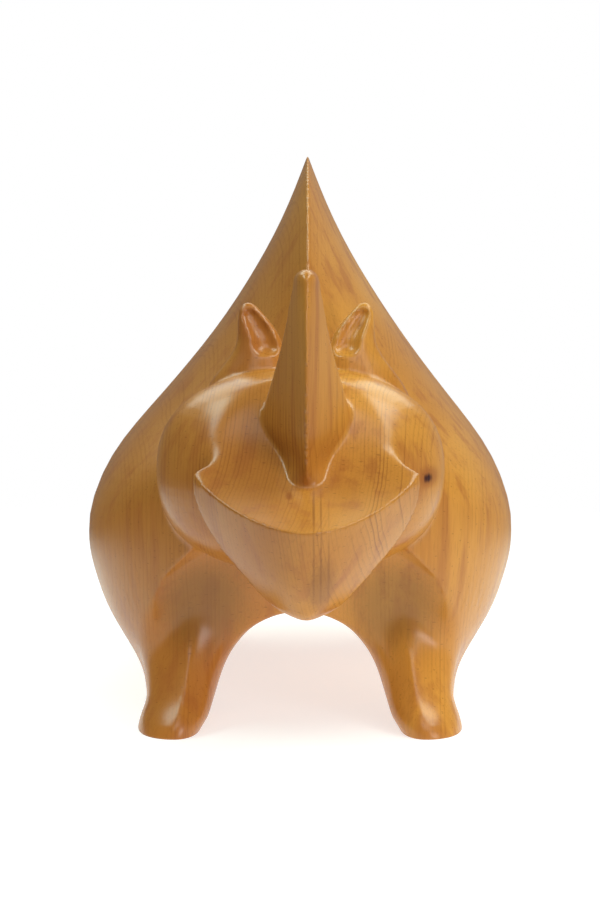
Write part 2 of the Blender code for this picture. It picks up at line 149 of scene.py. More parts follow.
# Body: onion-shaped sections under a sharp ridge, whose flanks run down into the legs
body = {
    "front": -92.0,
    "rear": 143.0,
    "blunt": 0.6,
    # place along the body: half width, ridge, height of the widest line
    "sections": (
        (-92, 0, 101, 98),
        (-88, 24, 109, 92),
        (-80, 41, 123, 86),
        (-72, 52.5, 137, 81),
        (-62, 62.5, 152, 76),
        (-50, 70, 168, 71),
        (-35, 75.6, 182.5, 67),
        (-15, 78.3, 196.4, 64),
        (5, 78.9, 201.2, 63),
        (25, 78.7, 200.6, 63),
        (45, 77.2, 194.2, 63.5),
        (65, 74, 182.4, 64.5),
        (85, 67.5, 165.5, 65.5),
        (105, 56.5, 144, 66),
        (120, 44, 124, 66),
        (132, 30, 107, 65),
        (139, 16, 97, 64),
        (143, 0, 91, 64),
    ),
    # flank above the widest line: share of the rise, share of the half width
    "ogee": (
        (-0.10, 0.973),
        (0, 1),
        (0.10, 0.973),
        (0.20, 0.887),
        (0.335, 0.703),
        (0.50, 0.474),
        (0.67, 0.274),
        (0.80, 0.147),
        (0.90, 0.068),
        (1, 0),
    ),
    # flank below the widest line: height, share of the half width
    "widestLine": 63,
    "knee": 16,
    "skirt": (
        (-12, 0.76),
        (-4, 0.758),
        (0, 0.755),
        (4, 0.75),
        (10, 0.75),
        (16, 0.766),
        (22, 0.805),
        (30, 0.87),
        (38, 0.925),
        (46, 0.962),
        (54, 0.990),
        (63, 1),
        (72, 0.990),
    ),
    # lower edge of the flank: place along the body, height, rise of the hollow inside it
    "hem": (
        (-92, 96, 0),
        (-86, 76, 6),
        (-80, 66, 12),
        (-72, 54, 16),
        (-68, 45, 18),
        (-62, 34, 16),
        (-55, 14, 8),
        (-48, -12, 0),
        (108, -12, 0),
        (114, 20, 4),
        (122, 31, 8),
        (132, 41, 8),
        (139, 50, 6),
        (142.2, 58, 3),
        (143, 63, 0),
    ),
    "underPull": 0.6,  # roundness of that hollow
    # sideways set of the carving: low on the body, at the back ridge, and where it runs from one to the other
    "lowSet": -1.0,
    "ridgeSet": 1.8,
    "setFrom": 60,
    "setTo": 150,
}


def alongBody(y):
    # angle that runs from 0 to pi along the body, so that its blunt ends close smoothly
    part = (np.asarray(y, float) - body["front"]) / (body["rear"] - body["front"])
    return np.arccos(np.clip(1 - 2 * part, -1, 1))


def makeBody():
    points = grain["ringPoints"]
    angle = np.linspace(0, math.pi, grain["stations"])
    keys = np.asarray(body["sections"], float)
    keys[:, 0] = alongBody(keys[:, 0])
    hem = np.asarray(body["hem"], float)
    edge = np.interp(angle, alongBody(hem[:, 0]), hem[:, 1])
    hollow = np.interp(angle, alongBody(hem[:, 0]), hem[:, 2])
    place = body["front"] + (body["rear"] - body["front"]) * (1 - np.cos(angle)) / 2
    rise = np.linspace(1, 0, points)
    flank = spline(body["ogee"], rise)[:, 0]
    fall = np.linspace(0, 1, points)[1:]
    rings = []
    for y, low, lift, (width, ridge, widest) in zip(place, edge, hollow, spline(keys, angle)):
        width = max(width, body["blunt"])
        upper = np.column_stack([width * flank, widest + (ridge - widest) * rise])
        height = widest + (min(low, widest - 1) - widest) * fall
        dropShare = np.clip((height - body["knee"]) / (widest - body["knee"]), 0, 1)
        skirt = spline(body["skirt"], height - (widest - body["widestLine"]) * dropShare)[:, 0]
        lower = np.column_stack([width * skirt, height])
        corner = lower[-1]
        top = corner[1] + lift
        under = bezier(corner, (corner[0] * body["underPull"], top), (0, top), points // 2)[1:]
        half = np.vstack([upper, lower, under, [(0, top)]])
        ring = bothSides(np.column_stack([half[:, 0], 0 * half[:, 0] + y, half[:, 1]]))
        climb = np.clip((ring[:, 2] - body["setFrom"]) / (body["setTo"] - body["setFrom"]), 0, 1)
        ring[:, 0] += body["lowSet"] + (body["ridgeSet"] - body["lowSet"]) * climb * climb * (3 - 2 * climb)
        rings.append(ring)
    return skin("carving", rings)


# Arches: one from front to back between the legs, one across under the belly
arch = {
    "below": 40,  # how far the cutters reach under the floor, past the body's ends, and to each side
    "past": 20,
    "aside": 100,
    "sole": 36.6,  # half width at the floor
    "leg": (31.0, 8.0),
    "ankle": (31.4, 4.0),
    "pull": (24.5, 40.0),
    "crown": 41.0,
    "flankMiddle": 22.0,
    "flankHalf": 55.0,
    "flankCrown": 40.0,
    "flankPower": 2.3,
}


def lengthwaysArch():
    points = grain["ringPoints"]
    half = np.vstack(
        [
            [(0, arch["crown"])],
            bezier((0, arch["crown"]), arch["pull"], arch["leg"], points)[1:],
            bezier(arch["leg"], arch["ankle"], (arch["sole"], 0), points // 2),
            [(arch["sole"], 0), (arch["sole"], -arch["below"]), (0, -arch["below"])],
        ]
    )
    half = half[:, [0, 0, 1]]
    rings = []
    for y in (body["front"] - arch["past"], body["rear"] + arch["past"]):
        half[:, 1] = y
        rings.append(bothSides(half, body["lowSet"]))
    return skin("lengthwaysArch", rings)


def crosswaysArch():
    power = 2 / arch["flankPower"]
    outline = []
    for a in np.linspace(0, math.pi, 2 * grain["ringPoints"]):
        reach = math.copysign(abs(math.cos(a)) ** power, math.cos(a))
        rise = math.sin(a) ** power
        outline.append((arch["flankMiddle"] + arch["flankHalf"] * reach, arch["flankCrown"] * rise))
    outline += [(outline[-1][0], -arch["below"]), (outline[0][0], -arch["below"])]
    rings = []
    for x in (-arch["aside"], arch["aside"]):
        rings.append(np.array([(x, y, z) for y, z in outline]))
    return skin("crosswaysArch", rings)


# Legs: almond sections that put a shin and a toe in front of the body, or a hock and a heel behind it
# height: inner side, outer side, ridge across, ridge, middle, far side, bluntness of the ridge
legs = {
    "fore": (
        (-12, 36.5, 58.6, 45, -84, -60, -38, 0.05),
        (0, 35.5, 58.2, 44.5, -83.5, -60, -38, 0.05),
        (4, 33, 57.2, 43.8, -82.5, -60, -38, 0.10),
        (10, 30.8, 55.2, 42, -78, -58, -37, 0.26),
        (18, 28.2, 56, 40.5, -72.5, -54, -34, 0.42),
        (26, 24.2, 58, 39.5, -68, -50, -30, 0.42),
        (34, 17.5, 60, 38.8, -65, -46, -25, 0.40),
        (42, 12, 60, 38, -63.5, -42, -22, 0.40),
        (52, 9, 58, 37, -62, -38, -18, 0.40),
    ),
    "hind": (
        (-12, 36.5, 58.2, 46, 126, 104, 82, 0.1),
        (0, 35.5, 58, 46, 125, 104, 82, 0.1),
        (4, 33, 57.2, 45.5, 124, 103, 81, 0.15),
        (10, 31, 55.8, 45, 120.5, 101, 79, 0.30),
        (18, 28.5, 56.5, 44, 119, 98, 77, 0.42),
        (26, 25, 58.5, 43, 120.5, 96, 74, 0.42),
        (36, 18, 60, 41, 126, 94, 70, 0.42),
        (48, 12, 58, 38, 131, 92, 66, 0.42),
    ),
}


def makeLeg(which, side):
    keys = np.asarray(legs[which], float)
    count = grain["ringPoints"] // 2
    height = np.linspace(keys[0, 0], keys[-1, 0], grain["stations"] // 2)
    rings = []
    for z, (inner, outer, across, ridge, middle, far, blunt) in zip(height, spline(keys, height)):
        centre = (inner + outer) / 2
        pull = ridge + blunt * (middle - ridge)
        flat = np.vstack(
            [
                bezier((across, ridge), (outer, pull), (outer, middle), count),
                bezier((outer, middle), (outer, far), (centre, far), count),
                bezier((centre, far), (inner, far), (inner, middle), count),
                bezier((inner, middle), (inner, pull), (across, ridge), count),
            ]
        )
        rings.append(np.column_stack([side * flat[:, 0] + body["lowSet"], flat[:, 1], 0 * flat[:, 0] + z]))
    return skin("leg", rings)


# Head: a ball, with a bow-shaped snout in front and a hollow face cut across both
head = {
    "ballMiddle": (-0.8, -80, 95.6),
    "ballRadii": (50.4, 38, 35.7),
    "ballPower": 0.38,  # squareness of the ball's outline seen from the front, fading towards its front
    "ballFade": 1.9,
    "faceSet": 1.2,  # sideways set of the snout, horn and ears
    # height: place of the keel, half width at the corner, place of the corner, back of the jaw
    "snout": (
        (50.8, -124, 4.0, -119, -113),
        (52.2, -126, 7.4, -118, -107),
        (55.5, -129, 12.5, -117, -96),
        (63.5, -136, 20.2, -115.8, -84),
        (74, -142, 29, -114.6, -82),
        (84.5, -147, 35.7, -114.4, -82),
        (95, -151.5, 38.8, -114.8, -82),
        (106, -156, 41, -114.4, -82),
    ),
    "snoutPull": (0.43, 0.3),  # the rounded prow: share of the half width, set back from the keel
    "snoutNeck": (0.72, 0.42),  # where it narrows behind the corner: share of the half width, of the way back
    "neckSet": 4,
    "snoutCrowding": 1.5,  # draws the slices towards the chin
    # face seen from the side, from in front of the lip up over the forehead
    "face": (
        (-165, 78),
        (-147, 84.5),
        (-132, 91),
        (-118, 98.8),
        (-112, 103.6),
        (-107, 109.2),
        (-103.5, 114.3),
        (-100, 119.8),
        (-95.5, 125.6),
        (-89, 130.8),
        (-82, 134.2),
        (-74, 137.4),
    ),
    "faceCut": (70, 170),  # how far the face's cutter reaches sideways and up
}


def makeHead():
    points, stations = grain["ringPoints"], grain["stations"]
    bpy.ops.mesh.primitive_uv_sphere_add(segments=stations, ring_count=stations // 2, radius=share)
    ball = bpy.context.active_object
    ball.name = "head"
    for vertex in ball.data.vertices:
        x, y, z = vertex.co / share
        power = 2 + head["ballPower"] * (1 - head["ballFade"] * abs(y))
        square = (abs(x) ** power + abs(z) ** power) ** (1 / power)
        grow = math.hypot(x, z) / square if square > 0 else 1
        sizes = zip((x * grow, y, z * grow), head["ballRadii"], head["ballMiddle"])
        vertex.co = [(part * radius + middle) * share for part, radius, middle in sizes]
    keys = np.asarray(head["snout"], float)
    height = keys[0, 0] + (keys[-1, 0] - keys[0, 0]) * np.linspace(0, 1, stations) ** head["snoutCrowding"]
    pullWide, pullBack = head["snoutPull"]
    neckWide, neckBack = head["snoutNeck"]
    rings = []
    for z, (keel, corner, place, back) in zip(height, spline(keys, height)):
        neck = (corner * neckWide, place + neckBack * (back - place))
        half = np.vstack(
            [
                bezier((0, keel), (corner * pullWide, keel + pullBack), (corner, place), points),
                bezier((corner, place), (neck[0], place + head["neckSet"]), neck, points // 4),
                bezier(neck, (neck[0], back), (0, back), points // 2),
                [(0, back)],
            ]
        )
        rings.append(bothSides(np.column_stack([half, 0 * half[:, 0] + z]), head["faceSet"]))
    combine(ball, skin("snout", rings), "UNION")
    place = np.linspace(head["face"][0][0], head["face"][-1][0], stations)
    line = np.column_stack([place, spline(head["face"], place)])
    aside, top = head["faceCut"]
    outline = np.vstack([line, [(place[-1], top), (place[0], top)]])
    rings = [np.column_stack([0 * outline[:, 0] + x, outline]) for x in (-aside, aside)]
    combine(ball, skin("face", rings), "DIFFERENCE")
    return ball


# Horn: upright, with a ridge in front between two flat facets and a thin facet on each side
horn = {
    # height: front ridge, side arris, back, half width, bluntness of the ridge
    "sections": (
        (84, -120.4, -117.4, -84, 7.8, 0.38),
        (93, -121.2, -117.6, -85, 7.8, 0.38),
        (97, -122.4, -117.2, -85.5, 7.9, 0.32),
        (100.5, -124, -113.5, -86, 8.2, 0.18),
        (104, -125.6, -110.5, -87, 9.0, 0.10),
        (107.5, -127, -107, -88, 11.6, 0.06),
        (111, -128.3, -104.2, -88.8, 14.8, 0.05),
        (114.5, -129.4, -104, -90, 16.0, 0.04),
        (118, -130.4, -105, -92, 15.4, 0.03),
        (132.5, -133.0, -110.5, -100, 11.2, 0.02),
        (145.5, -133.8, -116.5, -108, 8.0, 0.04),
        (159.5, -133, -121.5, -116.0, 5.5, 0.14),
        (165.5, -131.8, -123.0, -118.8, 4.6, 0.24),
        (168.6, -130.4, -124.0, -120.6, 3.6, 0.30),
        (170.2, -127.6, -124.8, -122.6, 1.6, 0.30),
    ),
    "arris": 0.88,  # share of the half width
    "widest": 0.35,  # where the horn is widest, as a share of the way from the arris to the back
    "sidePull": 0.6,
    "backPull": 0.9,
}


def makeHorn():
    keys = np.asarray(horn["sections"], float)
    turn = np.sin(np.linspace(0, math.pi / 2, grain["stations"]))
    height = keys[0, 0] + (keys[-1, 0] - keys[0, 0]) * turn
    count = grain["ringPoints"] // 4
    rings = []
    for z, (front, arris, back, width, blunt) in zip(height, spline(keys, height)):
        side = horn["arris"] * width
        wide = arris + horn["widest"] * (back - arris)
        pull = (side * (0.5 + blunt), front + (0.5 - blunt) * (arris - front))
        sidePull = arris + horn["sidePull"] * (wide - arris)
        half = np.vstack(
            [
                bezier((0, front), pull, (side, arris), count),
                bezier((side, arris), (width, sidePull), (width, wide), count),
                bezier((width, wide), (width * horn["backPull"], back), (0, back), count),
                [(0, back)],
            ]
        )
        rings.append(bothSides(np.column_stack([half, 0 * half[:, 0] + z]), head["faceSet"]))
    return skin("horn", rings)


# Ears: leaves that lean outwards on a flared root, cupped in front
ears = {
    # height: middle, half width, place along the body, half thickness
    "leaf": (
        (116, 21, 17, -68, 11),
        (124, 19.5, 15.2, -69, 10),
        (130, 18.0, 12.6, -69.3, 8.6),
        (135, 16.9, 10.0, -69, 7.2),
        (139, 16.5, 8.3, -68.5, 6.2),
        (144, 17.3, 6.8, -67.5, 5.0),
        (149, 19.2, 4.7, -66, 3.6),
        (151.6, 20.1, 3.2, -65.2, 2.5),
        (153, 20.4, 1.8, -64.8, 1.3),
        (153.6, 20.5, 0.8, -64.7, 0.7),
    ),
    "cup": (
        (136.0, 13.2, 3.4, -77.2, 3.6),
        (137.0, 13.3, 4.4, -76.6, 4.8),
        (140.5, 14.4, 4.7, -75.2, 5.4),
        (144, 16.0, 4.3, -73.2, 5.0),
        (148, 18.5, 3.5, -70.5, 3.6),
        (150.6, 20.0, 2.0, -68.2, 2.2),
        (151.6, 20.4, 0.8, -67.2, 1.0),
    ),
    "thinnest": 0.4,
}


def makeLeaf(name, side, keys):
    turn = np.linspace(0, 2 * math.pi, grain["ringPoints"], endpoint=False)
    heights = np.linspace(keys[0][0], keys[-1][0], grain["stations"] // 2)
    rings = []
    for z, (middle, wide, place, thick) in zip(heights, spline(keys, heights)):
        wide, thick = max(wide, ears["thinnest"]), max(thick, ears["thinnest"])
        ring = [(side * (middle + wide * math.cos(a)), place + thick * math.sin(a), z) for a in turn]
        rings.append(np.array(ring) + (head["faceSet"], 0, 0))
    return skin(name, rings)


def makeEar(side):
    outer = makeLeaf("ear", side, ears["leaf"])
    combine(outer, makeLeaf("cup", side, ears["cup"]), "DIFFERENCE")
    return outer


# Tail, lying on the rump: share of its length, place, height, half thickness
tail = {
    "keys": (
        (0, 125, 115, 4),
        (0.25, 134.5, 103, 4.6),
        (0.5, 141.8, 91, 4.2),
        (0.75, 144.4, 77, 3.8),
        (0.93, 143, 66, 3.6),
        (1, 141.5, 61.5, 0.8),
    ),
}


def makeTail():
    turn = np.linspace(0, 2 * math.pi, grain["ringPoints"], endpoint=False)
    rings = []
    for y, z, thick in spline(tail["keys"], np.linspace(0, 1, grain["stations"] // 2)):
        rings.append(np.array([(thick * math.cos(a), y + thick * math.sin(a), z) for a in turn]))
    return skin("tail", rings)


# Sanding: how wide each edge is rounded, in shares
sanding = {
    "widestHollow": 14.0,
    "strokes": 70,  # at a voxel of strokeVoxel, and more when finer
    "strokeVoxel": 1.2,
    "strokePull": 0.9,
    "lastStrokes": 3,
    "lastPull": 0.3,
    "creaseAngle": math.radians(14),
    "creaseStep": 0.3,
    "sharpReach": 1.2,
    # where it lies: from and to out from the middle, along and up, with 999 for no limit; then how wide
    # a hollow angle is rounded there, and a standing edge. The first zone that fits counts.
    "zones": (
        ((-999, 999), (-82, 999), (128, 999), 2.0, 1.3),  # ears and back ridge
        ((-999, 18), (-999, -88), (150, 999), 3.0, 3.0),  # tip of the horn
        ((-999, 18), (-999, -88), (136, 999), 1.5, 0.8),  # horn
        ((-999, 18), (-136, -88), (90, 999), 1.5, 0.8),  # root of the horn
        ((16, 999), (-999, -88), (101, 999), 9.0, 9.0),  # brow
        ((-999, 999), (-999, -88), (58, 999), 9.0, 1.2),  # snout and lip
        ((-999, 999), (-999, -50), (50, 999), 4.0, 1.0),  # neck and chest
        ((-999, 999), (-60, 999), (-999, 50), 14.0, 8.0),  # legs and arches
        ((-999, 999), (-999, 999), (-999, 50), 14.0, 2.0),  # fore toes and shins
        ((-999, 999), (100, 999), (55, 999), 4.0, 1.0),  # rump and tail
    ),
    "elsewhere": 2.0,
}


def sandingReach(point, hollow):
    # how wide an edge at this point is rounded
    spot = (abs(point.x) / share, point.y / share, point.z / share)
    for *ranges, hollowReach, standingReach in sanding["zones"]:
        if all(low < value < high for value, (low, high) in zip(spot, ranges)):
            return hollowReach if hollow else standingReach
    return sanding["elsewhere"]


def treeOf(points):
    tree = KDTree(len(points))
    for i, point in enumerate(points):
        tree.insert(point, i)
    tree.balance()
    return tree


def findCreases(crisp):
    # points along every crease of the crisp shape, sorted by how far sanding reaches there
    shape = bmesh.new()
    shape.from_mesh(crisp.data)
    creases = {}
    for edge in shape.edges:
        angle = edge.calc_face_angle_signed(0)
        if abs(angle) < sanding["creaseAngle"]:
            continue
        start, end = (v.co for v in edge.verts)
        steps = max(1, math.ceil(edge.calc_length() / (sanding["creaseStep"] * share)))
        for i in range(steps + 1):
            point = start.lerp(end, i / steps)
            creases.setdefault((sandingReach(point, angle < 0), angle > 0), []).append(point)
    shape.free()
    return {key: treeOf(points) for key, points in creases.items()}


def splitAlong(figure, onEdge):
    # cuts each quad that has opposite corners on a sharp edge along that edge
    shape = bmesh.new()
    shape.from_mesh(figure.data)
    for face in list(shape.faces):
        corners = face.verts[:]
        for a, b in ((0, 2), (1, 3)):
            if len(corners) == 4 and {corners[a].index, corners[b].index} <= onEdge:
                bmesh.utils.face_split(face, corners[a], corners[b])
                break
    shape.to_mesh(figure.data)
    shape.free()


def sand(figure, crisp):
    # keeps the sharp edges, and rounds each other crease by the reach that its place gives
    creases = findCreases(crisp)
    speed = np.zeros(len(figure.data.vertices))
    onEdge = set()
    for (reach, standing), tree in creases.items():
        sharp = standing and reach <= sanding["sharpReach"]
        for vertex in figure.data.vertices:
            point, _, distance = tree.find(vertex.co)
            if sharp and distance < grain["snap"] * grain["voxel"] * share:
                vertex.co = point
                onEdge.add(vertex.index)
            if distance < reach * share:
                fade = (1 - distance / reach / share) * (reach / sanding["widestHollow"]) ** 2
                speed[vertex.index] = max(speed[vertex.index], fade)
    splitAlong(figure, onEdge)
    applyModifier(figure, "SHRINKWRAP", target=crisp, wrap_method="NEAREST_SURFACEPOINT")
    group = figure.vertex_groups.new(name="sanded")
    for i in np.flatnonzero(speed):
        group.add([int(i)], speed[i], "REPLACE")
    strokes = round(sanding["strokes"] * (sanding["strokeVoxel"] / grain["voxel"]) ** 2)
    applyModifier(figure, "SMOOTH", factor=sanding["strokePull"], iterations=strokes, vertex_group="sanded")
    applyModifier(figure, "SMOOTH", factor=sanding["lastPull"], iterations=sanding["lastStrokes"])
    figure.vertex_groups.clear()


def levelSoles(figure):
    size = 2 * (cadBox[1][2] - cadBox[0][2])
    bpy.ops.mesh.primitive_cube_add(size=size, location=(0, 0, -size / 2))
    floor = bpy.context.active_object
    floor.name = "underFloor"
    combine(figure, floor, "DIFFERENCE")


def fitToFrame(figure):
    # the carving fills the box of its CAD node
    low, high = (np.array(corner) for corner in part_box("rhinoceros"))
    points = np.empty(len(figure.data.vertices) * 3)
    figure.data.vertices.foreach_get("co", points)
    points = points.reshape(-1, 3)
    least, most = points.min(axis=0), points.max(axis=0)
    print("carving fits the frame at", np.round((high - low) / (most - least), 4))
    points = low + (points - least) * (high - low) / (most - least)
    figure.data.vertices.foreach_set("co", points.ravel())
    figure.data.update()


def carve():
    figure = makeBody()
    combine(figure, lengthwaysArch(), "DIFFERENCE")
    combine(figure, crosswaysArch(), "DIFFERENCE")
    shapes = [makeHead(), makeHorn(), makeTail()]
    for side in (1, -1):
        shapes += [makeEar(side), makeLeg("fore", side), makeLeg("hind", side)]
    for shape in shapes:
        combine(figure, shape, "UNION")
    print("carving: forms joined")
    crisp = figure.copy()
    crisp.data = figure.data.copy()
    bpy.context.scene.collection.objects.link(crisp)
    applyModifier(figure, "REMESH", mode="VOXEL", voxel_size=grain["voxel"] * share)
    sand(figure, crisp)
    print("carving: sanded")
    bpy.data.objects.remove(crisp)
    applyModifier(figure, "TRIANGULATE")
    applyModifier(figure, "DECIMATE", ratio=min(1, grain["faces"] / len(figure.data.polygons)))
    levelSoles(figure)
    fitToFrame(figure)
    figure.data.shade_smooth()
    return figure


def linear(hexColour):
    # sRGB hex to Blender's linear colour
    values = [int(hexColour[i : i + 2], 16) / 255 for i in (1, 3, 5)]
    return [v / 12.92 if v <= 0.04045 else ((v + 0.055) / 1.055) ** 2.4 for v in values] + [1.0]


def feed(tree, node, inputs):
    # sets or links a node's inputs: each takes a value, an output, or another node for its result
    for key, value in inputs.items():
        if isinstance(value, bpy.types.Node):
            value = next(output for output in value.outputs if output.enabled)
        if isinstance(value, bpy.types.NodeSocket):
            tree.links.new(value, node.inputs[key])
        else:
            node.inputs[key].default_value = value


def addNode(tree, kind, inputs=None, **settings):
    node = tree.nodes.new("ShaderNode" + kind)
    for key, value in settings.items():
        setattr(node, key, value)
    feed(tree, node, inputs or {})
    return node


# Wood: a pale softwood cut on the quarter, hand sanded and varnished. Growth rings show as fine upright
# lines in front and as broad soft flames on the flanks; the varnish gives wide, soft, milky reflections.
wood = {
    "name": "quartersawn softwood, satin varnish",
    "pale": "#D5953E",
    "honey": "#C68432",
    "red": "#A9632B",
    "late": "#7C3F14",
    "fleck": "#5E2E12",
    "ringWidth": 1.35,  # mm between growth lines
    "pith": (-330.0, -60.0),  # where the tree's middle lay, in mm from the carving's
    "warp": 5.0,  # mm that the rings wander, and that they ripple
    "ripple": 0.55,
    "spells": 0.23,  # good and lean spells: share of one in each year
    "heartWaver": 30,  # mm that streaks push the heartwood's edge about
    "fleckSize": (1.5, 0.7, 0.45),  # mm: length of a ray fleck across the rings, depth, height
    # clouds: how wide, deep and tall in mm, detail, roughness, seed
    "clouds": {
        "wander": ((70, 70, 240), 1.0, 0.4, 3.1),
        "ripple": ((9, 9, 60), 1.0, 0.5, 8.4),
        "patch": ((26, 60, 40), 1.0, 0.5, 5.7),
        "streak": ((7.5, 7.5, 110), 3.0, 0.55, 1.3),
        "broad": ((38, 60, 75), 2.0, 0.5, 12.2),
        "fibre": ((0.7, 0.7, 16), 2.0, 0.6, 4.4),  # coarser than real fibres, so that they show
    },
    # tones: what each follows, where it begins and is full, its least and its most
    "tones": {
        "lateRise": ("season", 0.45, 0.93, 0.0, 1.0),
        "lateFall": ("season", 1.0, 0.93, 0.0, 1.0),
        "yearDepth": ("year", 0.0, 1.0, 0.25, 1.0),
        "spellDepth": ("spell", 0.35, 0.65, 0.35, 1.0),
        "patchDepth": ("patch", 0.36, 0.62, 0.25, 1.0),
        "frontDepth": ("along", -70, -105, 0.8, 1.5),
        "broadTone": ("broad", 0.35, 0.65, 0.0, 1.0),
        "streaks": ("streak", 0.46, 0.68, 0.0, 1.0),
        "heartwood": ("heartward", 32, -6, 0.0, 1.0),
        "fibres": ("fibre", 0.52, 0.75, 0.0, 1.0),
        "tickSize": ("tick", 0.30, 0.16, 0.0, 1.0),
        "tickChoice": ("choice", 0.80, 0.86, 0.0, 1.0),
        "worn": ("broad", 0.3, 0.7, 0.0, 1.0),
    },
    "lineTones": ("lateRise", "lateFall", "yearDepth", "spellDepth", "patchDepth", "frontDepth"),
    # layers over the honey: tone, strength, colour
    "layers": (
        ("broadTone", 1.0, "pale"),
        ("streaks", 0.55, "red"),
        ("heartwood", 0.52, "red"),
        ("line", 0.38, "late"),
        ("fibres", 0.22, "late"),
        ("flecks", 0.3, "fleck"),
    ),
    # place, half sizes, colour and strength of what marks this one piece, and of the painted shade under the
    # head
    "marksAndShade": (
        ((44, -98, 96), (7, 9, 5), "#8A4018", 0.5),  # halo of the knot
        ((43.6, -98, 95.6), (2.4, 6, 2.2), "#3A0E04", 1.0),  # knot
        ((48, -95, 110), (4, 8, 5), "#8F4A16", 0.35),  # worn patch
        ((-3.6, -127, 93.5), (1.5, 4, 1.8), "#7A2A12", 0.5),  # reddish spot under the horn
        ((4.6, -133, 80), (0.7, 18, 28), "#6A3208", 0.5),  # dark years down the muzzle
        ((7.0, -133, 78), (0.6, 18, 26), "#6A3208", 0.5),
        ((9.6, -133, 74), (0.6, 18, 24), "#6A3208", 0.35),
        ((7, -134, 66), (7, 12, 20), "#80501E", 0.5),  # darker chin
        ((-22, -72, 146), (6, 12, 7), "#8E3E18", 0.3),  # reddish ear
        ((-35, -58, 46), (22, 36, 24), "#775824", 0.5),  # painted shade: darker olive in the scoops of the chest, where the head shades them
        ((34, -58, 46), (22, 36, 24), "#775824", 0.5),
    ),
    "markEdge": (1.35, 0.65),  # where a mark begins and is full, in its half sizes
    "markRagged": 0.6,
    "roughness": 0.42,
    "roughnessSpread": 0.06,
    "underSheen": 0.0,  # the wood has no gloss of its own under the varnish
    "varnish": 0.9,
    "varnishRoughness": 0.27,
    "varnishIor": 1.5,
    "lineRelief": -0.5,  # late wood and fibres lie a little lower
    "fibreRelief": -0.35,
    "relief": 0.12,
    "reliefDepth": 0.0002,
}


